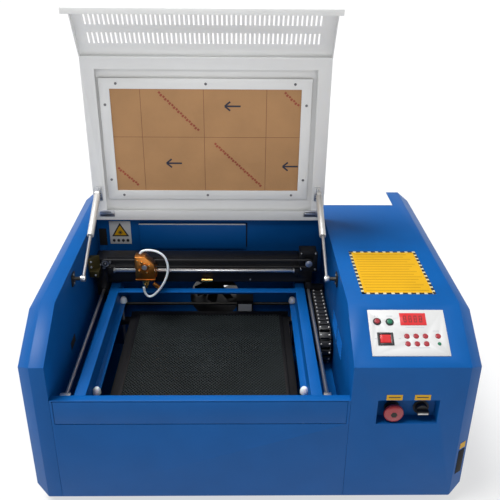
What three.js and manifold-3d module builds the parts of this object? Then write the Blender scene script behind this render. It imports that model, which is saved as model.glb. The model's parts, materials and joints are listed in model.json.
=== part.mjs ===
// Desktop laser cutter: a bent-sheet cabinet with a hinged lid on gas struts, an X-Y gantry with its laser
// head, a lifting bed, a laser tube behind the work chamber, an exhaust fan and a control panel.
// Millimetres, +Z up. The machine is drawn with x = 0 at the middle of its width, y = 0 at its front face and
// z = 0 at its underside, and the last lines move it so that the origin is on the floor at its centre.
import * as THREE from "three";
import { ConvexGeometry } from "three/addons/geometries/ConvexGeometry.js";
import { mergeVertices } from "three/addons/utils/BufferGeometryUtils.js";
import Module from "manifold-3d";

const wasm = await Module();
wasm.setup();

// ---- driving dimensions ----
const WIDTH = 860; // across the two side covers
const DEPTH = 700; // front face to rear panel
const HEIGHT = 382; // underside to top face
const FOOT_HEIGHT = 22;
const SHEET = 2; // folded steel sheet
const GAP = 0.3; // between neighbouring pieces
const EDGE_BEVEL = 25; // how far the outer bevel reaches across the side covers
const EDGE_INSET = 18; // how far it pulls their outline in
const FRONT_TOP = 315; // top of the upright front face
const SLOPE_RUN = 120; // depth of the sloping face above it
const CHAMBER = { left: -377, right: 188 }; // inner faces of the two housings
const LEDGE_TOP = 240; // ledge on which the lid's front lip rests
const FLAP_BOTTOM = 184;
const LID_CREASE_Y = 128;
const LID_NOSE_Y = 8;
const LID_WINDOW = { x0: -312, x1: 117, y0: 199, y1: 443 }; // opening in the closed lid
const LID = { left: -370, right: 181, rear: 517.5, depth: 14.5, sheet: 1.6 };
const LID_PIVOT = { y: 520.5, z: HEIGHT };
const LID_OPEN_DEG = 88.6;
const WALL_Y = 540; // front face of the wall between chamber and tube compartment
const COVER_Y = 609; // front edge of the tube compartment's cover
const COVER_HALF = 374;
const TRAY_Z = 133; // floor of the side trays
const DECK_TOP = 236; // top of the channels along the bed well
const LIP_Z = 197; // inner lip of those channels
const WELL = { left: -313, right: 115, lip: 13, rim: 22 };
const SHAFT_Z = 228; // Y guide shafts
const SHAFT_LEFT = -352;
const SHAFT_RIGHT = 147;
const SHAFT_R = 4;
const DRIVE = { y: 512, z: 145, pulley: 8.2, belt: 1.5, front: 52 }; // Y belts and their drive shaft
const GANTRY = { front: 437, rear: 485, top: 312, bottom: 246 };
const ROD = { y: 433, z: 285, r: 4.5, left: -322, right: 110 }; // X guide shaft
const X_BELT = { y: 429, z: 306, left: -340, right: 144, pulley: 8 };
const HEAD_X = -243;
const BEAM_Z = 320; // height of the laser beam
// The gas struts' pivots: y and z on the cabinet, rearY and rearZ on the open lid.
const STRUT = { y: 262, z: 356, rearY: 478, rearZ: 463.2, inset: 16 };
const STRUT_SIZES = { cylinder: 125, r: 7.5, eye: 7, rod: 3.2 };
const CHAIN = { x0: 156, x1: 183, link: 22, radius: 35, low: 146, bendY: 285, endY: 445, tailY: 330 };
const BED = { left: -272, right: 83, front: 47, rear: 433, top: 165 };
const SCREWS = { xs: [-306, 108], ys: [66, 415], r: 4 };
const FAN = { x: -85, z: 150, half: 75, bore: 65 };
const TUBE = { y: 640, r: 25, left: -330, right: 366 };
const PANEL = { x0: 224, x1: 370, v0: 23, v1: 120.5 }; // control panel on the slope, v along the slope
const RECESS = { x0: 239, x1: 356, z0: 184, z1: 240, depth: 26 };

const slopeAngle = Math.atan2(HEIGHT - FRONT_TOP, SLOPE_RUN);
const rad = THREE.MathUtils.degToRad;

// ---- materials ----
function material(color, roughness, metalness) {
  return new THREE.MeshStandardMaterial({ color, roughness, metalness });
}

const bluePaint = material(0x2457a8, 0.45, 0.1);
const whitePaint = material(0xe4e6e8, 0.5, 0.05);
const blackPlastic = material(0x17181a, 0.5, 0);
const blackSteel = material(0x1d1e20, 0.55, 0.5);
const steel = material(0xc9ccd0, 0.25, 1);
const brass = material(0xb87a3a, 0.3, 1);
const paper = material(0xa97f55, 0.75, 0);
const glassTube = material(0xd9e6ee, 0.1, 0);
const redPlastic = material(0xc0202c, 0.4, 0);
const greenPlastic = material(0x1c8a4c, 0.4, 0);
const rubber = material(0x101113, 0.85, 0);
const hose = material(0xe9eaee, 0.35, 0);
const beltRubber = material(0x1b1b1c, 0.8, 0);
const panelFilm = material(0xf1f2f2, 0.55, 0);

// ---- geometry helpers ----
function toSolid(geometry) {
  const g = geometry.clone();
  g.deleteAttribute("normal");
  g.deleteAttribute("uv");
  const merged = mergeVertices(g, 1e-4);
  const vertProperties = new Float32Array(merged.attributes.position.array);
  const triVerts = new Uint32Array(merged.index.array);
  return new wasm.Manifold(new wasm.Mesh({ numProp: 3, vertProperties, triVerts }));
}

function toGeometry(solid) {
  const mesh = solid.getMesh();
  const g = new THREE.BufferGeometry();
  g.setAttribute("position", new THREE.BufferAttribute(new Float32Array(mesh.vertProperties), 3));
  g.setIndex(new THREE.BufferAttribute(new Uint32Array(mesh.triVerts), 1));
  return g;
}

const join = (...parts) => toGeometry(parts.map(toSolid).reduce((a, b) => a.add(b)));
const cut = (base, ...tools) => toGeometry(tools.map(toSolid).reduce((a, b) => a.subtract(b), toSolid(base)));

function box(x0, x1, y0, y1, z0, z1) {
  const g = new THREE.BoxGeometry(x1 - x0, y1 - y0, z1 - z0);
  return g.translate((x0 + x1) / 2, (y0 + y1) / 2, (z0 + z1) / 2);
}

// A round bar along one axis, from a to b, centred on the other two coordinates in the order x, y, z.
function bar(axis, radius, a, b, p, q, sides = 24) {
  const g = new THREE.CylinderGeometry(radius, radius, b - a, sides);
  const middle = (a + b) / 2;
  if (axis === "x") return g.rotateZ(Math.PI / 2).translate(middle, p, q);
  if (axis === "y") return g.translate(p, middle, q);
  return g.rotateX(Math.PI / 2).translate(p, q, middle);
}

function outline(points) {
  return new THREE.Shape(points.map(([a, b]) => new THREE.Vector2(a, b)));
}

// An outline in y and z, with any holes, pushed along x.
function alongX(shape, x0, x1) {
  const g = new THREE.ExtrudeGeometry(shape, { depth: x1 - x0, bevelEnabled: false, curveSegments: 12 });
  const turn = new THREE.Matrix4().makeBasis(
    new THREE.Vector3(0, 1, 0),
    new THREE.Vector3(0, 0, 1),
    new THREE.Vector3(1, 0, 0),
  );
  return g.applyMatrix4(turn).translate(x0, 0, 0);
}

// An outline in x and y, with any holes, pushed up from z0 to z1.
function alongZ(shape, z0, z1) {
  const g = new THREE.ExtrudeGeometry(shape, { depth: z1 - z0, bevelEnabled: false, curveSegments: 12 });
  return g.translate(0, 0, z0);
}

function rectHole(x0, x1, y0, y1) {
  return outline([
    [x0, y0],
    [x0, y1],
    [x1, y1],
    [x1, y0],
  ]);
}

// A closed loop of belt round two pulleys that lie apart along the first axis of its plane.
function beltLoop(a, b, middle, inner, thick) {
  const ring = (r) => {
    const path = new THREE.Path();
    path.absarc(b, middle, r, -Math.PI / 2, Math.PI / 2, false);
    path.absarc(a, middle, r, Math.PI / 2, Math.PI * 1.5, false);
    path.closePath();
    return path;
  };
  const shape = new THREE.Shape(ring(inner + thick).getPoints(8));
  shape.holes.push(new THREE.Path(ring(inner).getPoints(8)));
  return shape;
}

const machine = new THREE.Group();

function node(name, geometry, mat, parent = machine) {
  const mesh = new THREE.Mesh(geometry, mat);
  mesh.name = name;
  parent.add(mesh);
  return mesh;
}

function groupAt(x, y, z, parent = machine) {
  const group = new THREE.Group();
  group.position.set(x, y, z);
  parent.add(group);
  return group;
}

// ---- cabinet ----

// The side outline of the cabinet pulled in by an amount all round.
function sideOutline(inset) {
  const tanHalf = Math.tan(slopeAngle / 2);
  const tanCorner = Math.tan((Math.PI / 2 - slopeAngle) / 2);
  return [
    [inset, inset],
    [inset, FRONT_TOP - inset * tanCorner],
    [SLOPE_RUN + inset * tanHalf, HEIGHT - inset],
    [DEPTH - inset, HEIGHT - inset],
    [DEPTH - inset, inset],
  ];
}

// A solid block of the side cover: flat from inner to the bevel, then narrowing to the outer face. As a
// cutter it runs out below, so that the cover is open underneath.
function sideBlock(side, inner, shrink, openBelow = false) {
  const creaseShift = shrink * Math.tan(Math.atan2(EDGE_INSET, EDGE_BEVEL) / 2);
  const rings = [
    [inner, shrink],
    [side * (WIDTH / 2 - EDGE_BEVEL - creaseShift), shrink],
    [side * (WIDTH / 2 - shrink), EDGE_INSET + shrink],
  ];
  const below = (z) => (openBelow && z < HEIGHT / 4 ? -FOOT_HEIGHT : z);
  const points = [];
  for (const [x, inset] of rings) {
    for (const [y, z] of sideOutline(inset)) points.push(new THREE.Vector3(x, y, below(z)));
  }
  return new ConvexGeometry(points);
}

function leftHousing() {
  const outer = sideBlock(-1, CHAMBER.left, 0);
  const inner = sideBlock(-1, CHAMBER.left - SHEET, SHEET, true);
  node("left_housing", cut(outer, inner), bluePaint);
}

function rightHousing() {
  const outer = sideBlock(1, CHAMBER.right, 0);
  const inner = sideBlock(1, CHAMBER.right + SHEET, SHEET, true);
  const cover = box(CHAMBER.right - 1, COVER_HALF, COVER_Y, DEPTH + 1, -30, HEIGHT + 1);
  const tubeWay = box(CHAMBER.right - 1, CHAMBER.right + SHEET + 1, WALL_Y, COVER_Y + 1, -1, HEIGHT - SHEET);
  const slopeWindow = slopeBox(PANEL.x0 - GAP, PANEL.x1 + GAP, PANEL.v0 - GAP, PANEL.v1 + GAP, -6, 3);
  const frontWindow = box(RECESS.x0, RECESS.x1, -1, SHEET + 1, RECESS.z0, RECESS.z1);
  const shell = cut(outer, inner, cover, tubeWay, slopeWindow, frontWindow);
  const { x0, x1, z0, z1, depth } = RECESS;
  const well = cut(
    box(x0 - 1.5, x1 + 1.5, SHEET - 0.5, depth + 1.5, z0 - 1.5, z1 + 1.5),
    box(x0, x1, -1, depth, z0, z1),
  );
  node("right_housing", join(shell, well), bluePaint);
}

// A box given across x, along the slope from its front crease, and by height above the slope's face.
function slopeBox(x0, x1, v0, v1, w0, w1) {
  return box(x0, x1, v0, v1, w0, w1).rotateX(slopeAngle).translate(0, 0, FRONT_TOP);
}

function bottomAndFeet() {
  node("bottom_pan", box(-404, 404, 1, DEPTH - 1, -SHEET, -GAP), bluePaint);
  const feet = {
    front_left: [-274, 45],
    front_right: [195, 45],
    rear_left: [-274, DEPTH - 45],
    rear_right: [195, DEPTH - 45],
  };
  for (const [name, [x, y]] of Object.entries(feet)) {
    const profile = [
      [-25, -FOOT_HEIGHT],
      [25, -FOOT_HEIGHT],
      [25, -SHEET - GAP],
      [-25, -SHEET - GAP],
    ].map(([a, z]) => [y + a, z]);
    node("foot_" + name, alongX(outline(profile), x - 25, x + 25), rubber);
  }
}

function frontPanel() {
  const left = CHAMBER.left + GAP;
  const right = CHAMBER.right - GAP;
  const post = 5;
  const panel = join(
    box(left, right, 0, SHEET, 0, FLAP_BOTTOM),
    box(left, left + post, 0, SHEET, FLAP_BOTTOM - 1, LEDGE_TOP),
    box(right - post, right, 0, SHEET, FLAP_BOTTOM - 1, LEDGE_TOP),
    box(left, right, 0, 17, LEDGE_TOP - SHEET, LEDGE_TOP),
    box(left, right, 14.5, 17, LEDGE_TOP - 15, LEDGE_TOP - 1),
  );
  node("front_panel", panel, bluePaint);
  // The flap closes the slot under the ledge and swings out and down about its lower edge.
  const flap = groupAt(0, SHEET / 2, FLAP_BOTTOM + 2);
  const ends = [left + post + 1, right - post - 1];
  const plate = box(...ends, -SHEET / 2, SHEET / 2, 0.3, LEDGE_TOP - FLAP_BOTTOM - 5);
  const knuckle = bar("x", SHEET / 2, ...ends, 0, 0, 12);
  node("front_flap", join(plate, knuckle), bluePaint, flap);
}

function rearBulkhead() {
  const left = CHAMBER.left + GAP;
  const right = CHAMBER.right - GAP;
  const sheet = join(
    box(left, right, LID_PIVOT.y + 2.5, COVER_Y - GAP, HEIGHT - SHEET, HEIGHT),
    box(left, right, WALL_Y, WALL_Y + SHEET, 0, HEIGHT - 1),
    box(-270, -5, WALL_Y - 10, WALL_Y + 1, 295, 363),
  );
  const exhaust = bar("y", FAN.bore, WALL_Y - 5, WALL_Y + 5, FAN.x, FAN.z, 32);
  const beamHole = bar("y", 9, WALL_Y - 5, WALL_Y + 5, -363, BEAM_Z, 16);
  node("rear_bulkhead", cut(sheet, exhaust, beamHole), bluePaint);
}

function rearPanel() {
  const left = CHAMBER.left + GAP;
  const plate = box(left, COVER_HALF - GAP, DEPTH - SHEET, DEPTH, 0, HEIGHT - SHEET - 2);
  const reach = FAN.half + GAP;
  const exhaust = box(FAN.x - reach, FAN.x + reach, DEPTH - 5, DEPTH + 5, FAN.z - reach, FAN.z + reach);
  const inletHole = box(240, 268, DEPTH - 5, DEPTH + 5, 60, 80);
  const cupBlock = box(237, 271, DEPTH - 20, DEPTH - 1, 57, 83);
  const inletCup = cut(cupBlock, box(240, 268, DEPTH - 17, DEPTH + 1, 60, 80));
  const barbs = [150, 190].map((x) => bar("y", 6, DEPTH - 30, DEPTH, x, 250, 16));
  node("rear_panel", join(cut(plate, exhaust, inletHole), inletCup, ...barbs), bluePaint);
}

// Channels on both sides of the bed well, tied by a cross bar at the rear and one at the front.
function deckFrame() {
  const t = SHEET;
  const rear = 495;
  const channel = (mirror) => {
    const wall = CHAMBER[mirror < 0 ? "left" : "right"] - mirror * GAP;
    const inner = mirror < 0 ? WELL.left : WELL.right;
    const outer = inner + mirror * WELL.rim;
    const span = (a, b, y0, y1, z0, z1) => box(Math.min(a, b), Math.max(a, b), y0, y1, z0, z1);
    return [
      span(wall, outer, 3, WALL_Y - GAP, TRAY_Z - t, TRAY_Z),
      span(outer, outer - mirror * t, 17.5, rear, TRAY_Z - t, DECK_TOP),
      span(outer, inner, 17.5, rear, DECK_TOP - t, DECK_TOP),
      span(inner, inner + mirror * t, 17.5, rear, LIP_Z - t, DECK_TOP),
      span(inner, inner - mirror * WELL.lip, 17.5, rear, LIP_Z - t, LIP_Z),
    ];
  };
  const crossBar = (y0, y1, z0, z1) => box(WELL.left - 5, WELL.right + 5, y0, y1, z0, z1);
  const rearBar = [crossBar(413, 432, DECK_TOP - t, DECK_TOP), crossBar(429.5, 432, DECK_TOP - 15, DECK_TOP)];
  const frontBar = [crossBar(20, 45, LIP_Z - t, LIP_Z), crossBar(20, 22.5, LIP_Z - 20, LIP_Z)];
  node("deck_frame", join(...channel(-1), ...channel(1), ...rearBar, ...frontBar), bluePaint);
}

// ---- lid and its gas struts ----

// The lid is drawn closed, measured from its pivot, and its group turns it open.
const lid = groupAt(0, LID_PIVOT.y, LID_PIVOT.z);
lid.rotation.x = -rad(LID_OPEN_DEG);
const fromPivot = ([y, z]) => [y - LID_PIVOT.y, z - LID_PIVOT.z];

function lidShell() {
  const t = LID.sheet;
  const skirtEnd = LEDGE_TOP + 3;
  const tanHalf = Math.tan(slopeAngle / 2);
  const tanCorner = Math.tan((Math.PI / 2 - slopeAngle) / 2);
  const outer = (inset) => [
    [LID.rear, HEIGHT - inset],
    [LID_CREASE_Y + inset * tanHalf, HEIGHT - inset],
    [LID_NOSE_Y + inset, FRONT_TOP - inset * tanCorner],
  ];
  const skinLine = [
    ...outer(0),
    [LID_NOSE_Y, skirtEnd],
    [LID_NOSE_Y + 12, skirtEnd],
    [LID_NOSE_Y + 12, skirtEnd + t],
    [LID_NOSE_Y + t, skirtEnd + t],
    ...outer(t).reverse(),
  ];
  const sideLine = [
    ...outer(0),
    [LID_NOSE_Y, skirtEnd],
    [LID_NOSE_Y + 12, skirtEnd],
    ...outer(LID.depth).reverse(),
  ];
  const y = (value) => value - LID_PIVOT.y;
  const rimFront = 127;
  const rim = alongZ(rectHole(LID.left, LID.right, y(rimFront), y(LID.rear)), -LID.depth, -LID.depth + t);
  const opening = [LID.left + 30, LID.right - 30, y(rimFront + 27), y(LID.rear - 24)];
  const rimOpening = box(...opening, -LID.depth - 1, -5);
  const { x0, x1, y0, y1 } = LID_WINDOW;
  const window = box(x0, x1, y(y0), y(y1), -3, 1);
  const skin = cut(alongX(outline(skinLine.map(fromPivot)), LID.left, LID.right), window);
  const sides = [LID.left, LID.right - t].map((x) => alongX(outline(sideLine.map(fromPivot)), x, x + t));
  const rear = box(LID.left, LID.right, y(LID.rear - t), y(LID.rear), -LID.depth, 0);
  const front = box(LID.left, LID.right, y(rimFront), y(rimFront + t), -LID.depth, -1);
  node("lid_shell", join(skin, ...sides, rear, front, cut(rim, rimOpening)), whitePaint, lid);
  const pane = box(x0 - 18, x1 + 18, y(y0 - 18), y(y1 + 16), -5.3, -t - GAP);
  node("lid_window", pane, paper, lid);
  const frame = alongZ(rectHole(x0 - 23, x1 + 23, y(y0 - 24), y(y1 + 22)), -8.6, -5.6);
  node("lid_frame", cut(frame, box(x0, x1, y(y0), y(y1), -10, -4)), whitePaint, lid);
}

const strutLength = Math.hypot(STRUT.rearY - STRUT.y, STRUT.rearZ - STRUT.z);
const strutAngle = Math.atan2(STRUT.rearZ - STRUT.z, STRUT.rearY - STRUT.y);

function strut(side, x, wall) {
  const group = groupAt(x, STRUT.y, STRUT.z);
  group.rotation.x = strutAngle;
  const rodEnd = 150;
  const frontEye = bar("x", STRUT_SIZES.eye, -5, 5, 0, 0, 20);
  const rod = join(bar("y", STRUT_SIZES.rod, 0, rodEnd, 0, 0, 16), frontEye);
  node("strut_rod_" + side, rod, steel, group);
  const start = strutLength - STRUT_SIZES.cylinder;
  const bore = STRUT_SIZES.rod + 0.6;
  const profile = [
    [0, strutLength - 10],
    [bore, strutLength - 10],
    [bore, start],
    [STRUT_SIZES.r, start],
    [STRUT_SIZES.r, strutLength - 6],
    [0, strutLength - 6],
  ].map(([r, d]) => new THREE.Vector2(r, d));
  const tube = new THREE.LatheGeometry(profile.reverse(), 20);
  const rearEye = bar("x", STRUT_SIZES.eye, -5, 5, strutLength, 0, 20);
  node("strut_cylinder_" + side, join(orient(tube), rearEye), steel, group);
  const out = Math.sign(wall - x);
  const plate = [wall - out * GAP, wall - out * 3.3].sort((a, b) => a - b);
  const pin = [wall - out * 3, x + out * 5.3].sort((a, b) => a - b);
  const bracket = join(
    box(plate[0], plate[1], STRUT.y - 12, STRUT.y + 12, STRUT.z - 14, STRUT.z + 12),
    bar("x", 4, pin[0], pin[1], STRUT.y, STRUT.z, 16),
  );
  node("strut_bracket_" + side, bracket, blackSteel);
}

// Turns a lathe whose profile ran the wrong way inside out, so that its faces point outwards.
function orient(geometry) {
  const solid = toSolid(geometry);
  if (solid.volume() >= 0) return geometry;
  const g = toGeometry(solid);
  const index = g.index.array;
  for (let i = 0; i < index.length; i += 3) [index[i + 1], index[i + 2]] = [index[i + 2], index[i + 1]];
  return g;
}

// ---- gantry and laser head ----

function gantry() {
  const { front, rear, top, bottom } = GANTRY;
  const bearing = (x) => bar("y", SHAFT_R + 0.4, front - 20, rear + 20, x, SHAFT_Z, 20);
  const bearings = [SHAFT_LEFT, SHAFT_RIGHT].map(bearing);
  const clamps = [SHAFT_LEFT, SHAFT_RIGHT].map((x) => {
    const beltTop = DRIVE.z + DRIVE.pulley + GAP + DRIVE.belt;
    return box(x - 3, x + 3, 455, 470, beltTop + 0.5, 215);
  });
  const body = join(
    box(-340, 123, 447, rear, bottom, top),
    box(-366, -339, front, rear, 214, top),
    box(139.5, 154.5, front, rear, 214, 250),
    box(120, 154.5, 447, rear, 246, 285),
    box(122, 166, 440, 444, 278, 331),
    box(122, 154.5, 440, 448, 262, 284),
    box(154, 184, front, 450, 228, 240),
    box(-336, ROD.left - GAP, 426, 448, 277, 293),
    box(ROD.right + GAP, 122.5, 426, 448, 277, 293),
    bar("y", X_BELT.pulley, X_BELT.y - 3, front + 1, X_BELT.left, X_BELT.z, 20),
    ...clamps,
  );
  const motorHole = bar("y", 12, 438, 446, X_BELT.right, X_BELT.z, 20);
  node("gantry_beam", cut(body, ...bearings, motorHole), blackSteel);
  node("x_shaft", bar("x", ROD.r, ROD.left, ROD.right, ROD.y, ROD.z, 20), steel);
  node("x_motor", box(123.5, 165, 444 + GAP, 484, 285 + GAP, 327), blackSteel);
  const pulley = join(
    bar("y", X_BELT.pulley, X_BELT.y - 4, X_BELT.y + 4, X_BELT.right, X_BELT.z, 20),
    bar("y", 2.5, X_BELT.y, 444, X_BELT.right, X_BELT.z, 12),
  );
  node("x_pulley", pulley, steel);
  const loop = beltLoop(X_BELT.left, X_BELT.right, X_BELT.z, X_BELT.pulley + GAP, 1.5);
  const belt = new THREE.ExtrudeGeometry(loop, { depth: 6, bevelEnabled: false });
  node("x_belt", belt.rotateX(Math.PI / 2).translate(0, X_BELT.y + 3, 0), beltRubber);
  const mirror = join(
    box(-372, -353, 420, front - GAP, 284, 300),
    box(-373, -351, 398, 421, 284, 300),
    alongZ(outline([[-373, 398], [-351, 420], [-373, 420]]), 299, 332),
  );
  node("gantry_mirror", mirror, blackSteel);
}

function laserHead() {
  const half = 22;
  const carriage = cut(
    box(HEAD_X - half - 2, HEAD_X + half + 2, 421, 444, 273, 295.5),
    bar("x", ROD.r + 0.4, HEAD_X - 40, HEAD_X + 40, ROD.y, ROD.z, 20),
  );
  const block = outline([
    [HEAD_X - half, 276],
    [HEAD_X + half, 276],
    [HEAD_X + half, 318],
    [HEAD_X + 2, 338],
    [HEAD_X - half, 338],
  ]);
  const upper = new THREE.ExtrudeGeometry(block, { depth: 26, bevelEnabled: false });
  upper.rotateX(Math.PI / 2).translate(0, 422, 0);
  node("head_carriage", join(carriage, upper), brass);
  const profile = [
    [0, 251],
    [3.5, 251],
    [8, 262],
    [9, 262],
    [9, 272],
    [11, 272],
    [11, 276 - GAP],
    [0, 276 - GAP],
  ].map(([r, z]) => new THREE.Vector2(r, z));
  const nozzle = new THREE.LatheGeometry(profile, 24).rotateX(Math.PI / 2).translate(HEAD_X, 409, 0);
  node("nozzle", orient(nozzle), brass);
  const route = [
    [-5, 397, 259],
    [-4, 397, 243],
    [3, 397, 233],
    [13, 397, 232],
    [32, 398, 250],
    [50, 400, 280],
    [56, 402, 310],
    [49, 405, 336],
    [30, 408, 349],
    [5, 409, 352],
    [-8, 409, 348],
    [-10, 409, 341.5],
  ].map(([dx, y, z]) => new THREE.Vector3(HEAD_X + dx, y, z));
  const section = new THREE.Shape();
  section.absarc(0, 0, 2.8, 0, Math.PI * 2);
  const tube = new THREE.ExtrudeGeometry(section, {
    steps: 44,
    curveSegments: 8,
    extrudePath: new THREE.CatmullRomCurve3(route),
  });
  node("air_hose", tube, hose);
}

// ---- Y motion ----

function yMotion() {
  const ends = { left: SHAFT_LEFT, right: SHAFT_RIGHT };
  for (const [side, x] of Object.entries(ends)) {
    const postHalf = side === "left" ? 10 : 7;
    const posts = [20, 526].map((y) => box(x - postHalf, x + postHalf, y, y + 10, TRAY_Z + GAP, SHAFT_Z + 8));
    node("y_shaft_" + side, join(bar("y", SHAFT_R, 22, 534, x, SHAFT_Z, 16), ...posts), steel);
    const loop = beltLoop(DRIVE.front, DRIVE.y, DRIVE.z, DRIVE.pulley + GAP, DRIVE.belt);
    node("y_belt_" + side, alongX(loop, x - 3, x + 3), beltRubber);
  }
  const pulleys = Object.values(ends).map((x) => bar("x", DRIVE.pulley, x - 4, x + 4, DRIVE.y, DRIVE.z, 20));
  const shaft = bar("x", 4, SHAFT_LEFT - 6, SHAFT_RIGHT + 6, DRIVE.y, DRIVE.z, 16);
  node("y_drive_shaft", join(shaft, ...pulleys), steel);
  const motor = box(-28, 14, DRIVE.y - 21, DRIVE.y + 21, DRIVE.z - 21, DRIVE.z + 21);
  node("y_motor", cut(motor, bar("x", 4.5, -40, 30, DRIVE.y, DRIVE.z, 20)), blackSteel);
}

function dragChain() {
  const { x0, x1, link, radius, low, bendY, endY, tailY } = CHAIN;
  const middle = low + radius;
  const r0 = radius - link / 2;
  const r1 = radius + link / 2;
  const shape = new THREE.Shape();
  shape.moveTo(bendY, middle - r1);
  shape.lineTo(bendY, middle - r0);
  shape.absarc(bendY, middle, r0, Math.PI * 1.5, Math.PI / 2, true);
  shape.lineTo(endY, middle + r0);
  shape.lineTo(endY, middle + r1);
  shape.lineTo(bendY, middle + r1);
  shape.absarc(bendY, middle, r1, Math.PI / 2, Math.PI * 1.5, false);
  node("drag_chain", alongX(shape, x0, x1), blackPlastic);
  node("drag_chain_tail", box(x0, x1, bendY + GAP, tailY, low - link / 2, low + link / 2), blackPlastic);
}

// ---- lifting bed ----

function bed() {
  const margin = 17;
  const frame = rectHole(BED.left - margin, BED.right + margin, BED.front - margin, BED.rear + margin);
  const ears = [];
  const bores = [];
  for (const x of SCREWS.xs) {
    for (const y of SCREWS.ys) {
      const inward = x < 0 ? [x - 7, BED.left - margin + 1] : [BED.right + margin - 1, x + 7];
      ears.push(box(...inward, y - 9, y + 9, 148, 160));
      bores.push(bar("z", SCREWS.r + 0.5, 140, 170, x, y, 16));
    }
  }
  const inner = box(BED.left + 8, BED.right - 8, BED.front + 8, BED.rear - 8, 140, 170);
  node("platform_frame", cut(join(alongZ(frame, 148, 160), ...ears), inner, ...bores), blackSteel);
  const plate = box(BED.left, BED.right, BED.front, BED.rear, 160 + GAP, BED.top);
  node("honeycomb_bed", plate, blackSteel);
  const [x0, x1] = SCREWS.xs;
  const [y0, y1] = SCREWS.ys;
  const base = cut(box(x0 - 9, x1 + 9, y0 - 9, y1 + 9, GAP, 8), box(x0 + 9, x1 - 9, y0 + 9, y1 - 9, -1, 9));
  const screwTop = LIP_Z - SHEET - 0.5;
  const posts = SCREWS.xs.flatMap((x) => SCREWS.ys.map((y) => bar("z", SCREWS.r, 5, screwTop, x, y, 16)));
  node("lift_screws", join(base, ...posts), steel);
}

// ---- tube compartment ----

function tubeCompartment() {
  const profile = [
    [0, TUBE.left],
    [9, TUBE.left],
    [9, TUBE.left + 40],
    [TUBE.r, TUBE.left + 48],
    [TUBE.r, TUBE.right - 48],
    [9, TUBE.right - 40],
    [9, TUBE.right],
    [0, TUBE.right],
  ].map(([r, d]) => new THREE.Vector2(r, d));
  const tube = new THREE.LatheGeometry(profile, 28).rotateZ(-Math.PI / 2).translate(0, TUBE.y, BEAM_Z);
  node("laser_tube", orient(tube), glassTube);
  const [x0, x1] = [CHAMBER.left + GAP, COVER_HALF - GAP];
  const shelf = box(x0, x1, WALL_Y + SHEET + GAP, DEPTH - SHEET - GAP, 262, 266);
  const saddles = [-190, 215].map((x) => box(x - 12, x + 12, TUBE.y - 34, TUBE.y + 34, 265, BEAM_Z));
  const mirror = alongZ(outline([[-375, 630], [-352, 653], [-375, 653]]), 265, BEAM_Z + 14);
  const seat = bar("x", TUBE.r + 0.4, TUBE.left, TUBE.right, TUBE.y, BEAM_Z, 28);
  node("tube_bench", join(cut(join(shelf, ...saddles), seat), mirror), steel);
  const hingeY = DEPTH - 1;
  const front = COVER_Y + 1 - hingeY;
  const cover = groupAt(0, hingeY, HEIGHT);
  const lidBox = cut(
    box(-COVER_HALF, COVER_HALF - 1, front, 0, -4, 0.5),
    box(-COVER_HALF + 2, COVER_HALF - 3, front + 2, -3, -20, -1.5),
  );
  node("tube_cover", lidBox, whitePaint, cover);
}

// The fan fills the square cut-out of the rear panel, and its bore is the exhaust outlet.
function exhaustFan() {
  const { x, z, half, bore } = FAN;
  const y0 = WALL_Y + SHEET + GAP;
  const y1 = DEPTH;
  const block = box(x - half, x + half, y0, y1, z - half, z + half);
  const body = cut(block, bar("y", bore, y0 - 5, y1 + 5, x, z, 36));
  const arms = [0, 1, 2].map((i) => {
    const arm = box(-bore - 3, bore + 3, 640, 646, -4, 4);
    return arm.rotateY((i * Math.PI) / 3).translate(x, 0, z);
  });
  node("fan_housing", join(body, ...arms, bar("y", 24, 636, 665, x, z, 24)), blackPlastic);
  const hub = bar("y", 22, 600, 625, x, z, 24);
  const blades = [];
  for (let i = 0; i < 7; i++) {
    const blade = new THREE.BoxGeometry(42, 2.5, 30).rotateX(rad(40)).translate(39, 612, 0);
    blades.push(blade.rotateY((i * 2 * Math.PI) / 7).translate(x, 0, z));
  }
  node("fan_rotor", join(hub, ...blades), blackPlastic);
}

// ---- controls ----

const panel = groupAt(0, 0, FRONT_TOP);
panel.rotation.x = slopeAngle;
const KEY_COLUMNS = [293, 310.5, 328];
const KEY_ROWS = [64, 48];
const LASER_KEY = [352, 64];
const ROUND = { red: [240, 95], green: [264, 94] };
const ROUND_R = 5.3;
const ROCKER = { x: 252, v: 58, half: 10, halfV: 8 };
const STOP_X = 272.5;
const SELECTOR_X = 329;
const SWITCH_Z = 204.5; // centre height of the two switches in the recess

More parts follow.
